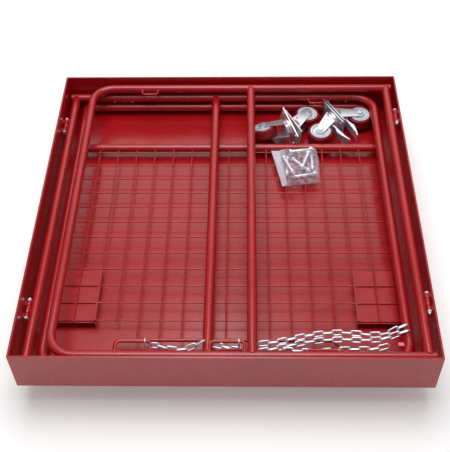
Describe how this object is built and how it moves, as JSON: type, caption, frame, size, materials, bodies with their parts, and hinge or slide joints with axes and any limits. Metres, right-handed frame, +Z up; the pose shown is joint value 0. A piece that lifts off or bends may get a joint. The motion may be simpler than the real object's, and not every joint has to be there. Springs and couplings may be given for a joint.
{
  "type": "folding fork-lift work platform",
  "caption": "Folding work platform for a fork-lift, folded flat: square red tray, hinged tube rails, mesh back guard, loose casters, chains and bagged bolts.",
  "frame": {"origin": "under the middle of the square tray, at the level of the fork pockets' underside", "axes": "+X to the right, +Y towards the mast side (the back guard's hinge), +Z up"},
  "size_m": [0.914, 0.914, 0.183],
  "materials": {
    "red_powder_coat": "gloss",
    "zinc_plate": "satin",
    "bright_zinc_hub": "satin",
    "red_polyurethane": "satin",
    "orange_seal": "gloss",
    "coral_plastic_tag": "gloss",
    "clear_film": "clear film"
  },
  "bodies": {
    "deck": {"deck_floor": "red_powder_coat", "toe_board_front": "red_powder_coat", "toe_board_back": "red_powder_coat", "toe_board_left": "red_powder_coat", "toe_board_right": "red_powder_coat", "fork_pocket_left": "red_powder_coat", "fork_pocket_right": "red_powder_coat", "caster_pads": "red_powder_coat", "wall_hinge_ears": "red_powder_coat", "hinge_bolts": "zinc_plate", "hinge_nuts": "zinc_plate", "caster_a_fork": "zinc_plate", "caster_b_fork": "zinc_plate", "caster_c_fork": "zinc_plate", "caster_d_fork": "zinc_plate", "caster_axle_bolts": "zinc_plate", "caster_dust_seals": "orange_seal"},
    "right_rail": {"right_rail_hoop": "red_powder_coat", "right_rail_hinge_tube": "red_powder_coat", "right_rail_knuckles": "red_powder_coat", "right_rail_mid_bar": "red_powder_coat", "right_rail_chain_loops": "red_powder_coat", "right_rail_lock_staple": "red_powder_coat", "chain_end_rings": "zinc_plate"},
    "left_rail": {"left_rail_hoop": "red_powder_coat", "left_rail_hinge_tube": "red_powder_coat", "left_rail_knuckles": "red_powder_coat", "left_rail_mid_bar": "red_powder_coat", "left_rail_chain_loops": "red_powder_coat", "left_rail_lock_staple": "red_powder_coat", "chain_upper_links": "zinc_plate", "chain_lower_links": "zinc_plate", "chain_short_links": "zinc_plate", "chain_tag": "coral_plastic_tag"},
    "back_guard": {"back_guard_hoop": "red_powder_coat", "back_guard_hinge_tube": "red_powder_coat", "back_guard_knuckles": "red_powder_coat", "back_guard_cross_tube": "red_powder_coat", "mesh_upright_wires": "red_powder_coat", "mesh_cross_wires": "red_powder_coat", "mesh_hand_rod": "red_powder_coat", "tool_box_left": "red_powder_coat", "tool_box_right": "red_powder_coat", "bolt_bag": "clear_film", "bagged_bolts": "zinc_plate"},
    "caster_a_swivel_plate": {"caster_a_plate": "zinc_plate"},
    "caster_a_wheel": {"caster_a_tread": "red_polyurethane", "caster_a_hub": "bright_zinc_hub"},
    "caster_b_swivel_plate": {"caster_b_plate": "zinc_plate"},
    "caster_b_wheel": {"caster_b_tread": "red_polyurethane", "caster_b_hub": "bright_zinc_hub"},
    "caster_c_swivel_plate": {"caster_c_plate": "zinc_plate"},
    "caster_c_wheel": {"caster_c_tread": "red_polyurethane", "caster_c_hub": "bright_zinc_hub"},
    "caster_d_swivel_plate": {"caster_d_plate": "zinc_plate"},
    "caster_d_wheel": {"caster_d_tread": "red_polyurethane", "caster_d_hub": "bright_zinc_hub"},
    "caster_c_brake": {"caster_c_brake_pedal": "zinc_plate"},
    "caster_d_brake": {"caster_d_brake_pedal": "zinc_plate"}
  },
  "joints": [
    {"name": "right_rail_hinge", "type": "hinge", "parent": "deck", "child": "right_rail", "pos_m": [0.4454, 0, 0.17], "axis": [0, 1, 0], "range_deg": [0, 90]},
    {"name": "left_rail_hinge", "type": "hinge", "parent": "deck", "child": "left_rail", "pos_m": [-0.4454, 0, 0.1375], "axis": [0, -1, 0], "range_deg": [0, 0.3]},
    {"name": "back_guard_hinge", "type": "hinge", "parent": "deck", "child": "back_guard", "pos_m": [0, 0.4454, 0.105], "axis": [-1, 0, 0], "range_deg": [0, 0.15]},
    {"name": "caster_a_axle", "type": "hinge", "parent": "deck", "child": "caster_a_wheel", "pos_m": [0.09515, 0.31956, 0.10275], "axis": [-0.214, 0.3651, 0.906], "continuous": true},
    {"name": "caster_a_swivel", "type": "hinge", "parent": "deck", "child": "caster_a_swivel_plate", "pos_m": [0.163, 0.319, 0.119], "axis": [0.9065, 0.4198, 0.045], "range_deg": [0, 1]},
    {"name": "caster_b_axle", "type": "hinge", "parent": "deck", "child": "caster_b_wheel", "pos_m": [0.21662, 0.387, 0.09477], "axis": [-0.0751, -0.0348, -0.9966], "continuous": true},
    {"name": "caster_b_swivel", "type": "hinge", "parent": "deck", "child": "caster_b_swivel_plate", "pos_m": [0.174, 0.332, 0.0999], "axis": [-0.9043, -0.4188, 0.0828], "range_deg": [0, 1]},
    {"name": "caster_c_axle", "type": "hinge", "parent": "deck", "child": "caster_c_wheel", "pos_m": [0.24975, 0.31179, 0.09866], "axis": [0.0175, 0.0097, -0.9998], "continuous": true},
    {"name": "caster_c_swivel", "type": "hinge", "parent": "deck", "child": "caster_c_swivel_plate", "pos_m": [0.2885, 0.3698, 0.0999], "axis": [0.8749, 0.4839, 0.02], "range_deg": [0, 1]},
    {"name": "caster_c_brake_pivot", "type": "hinge", "parent": "deck", "child": "caster_c_brake", "pos_m": [0.27845, 0.34253, 0.09946], "axis": [0.0175, 0.0097, -0.9998], "range_deg": [-4, 1]},
    {"name": "caster_d_axle", "type": "hinge", "parent": "deck", "child": "caster_d_wheel", "pos_m": [0.36173, 0.3788, 0.09866], "axis": [0.0175, 0.0097, 0.9998], "continuous": true},
    {"name": "caster_d_swivel", "type": "hinge", "parent": "deck", "child": "caster_d_swivel_plate", "pos_m": [0.292, 0.3768, 0.0999], "axis": [-0.8749, -0.4839, 0.02], "range_deg": [0, 1]},
    {"name": "caster_d_brake_pivot", "type": "hinge", "parent": "deck", "child": "caster_d_brake", "pos_m": [0.32044, 0.37082, 0.09946], "axis": [0.0175, 0.0097, 0.9998], "range_deg": [-4, 4]}
  ]
}
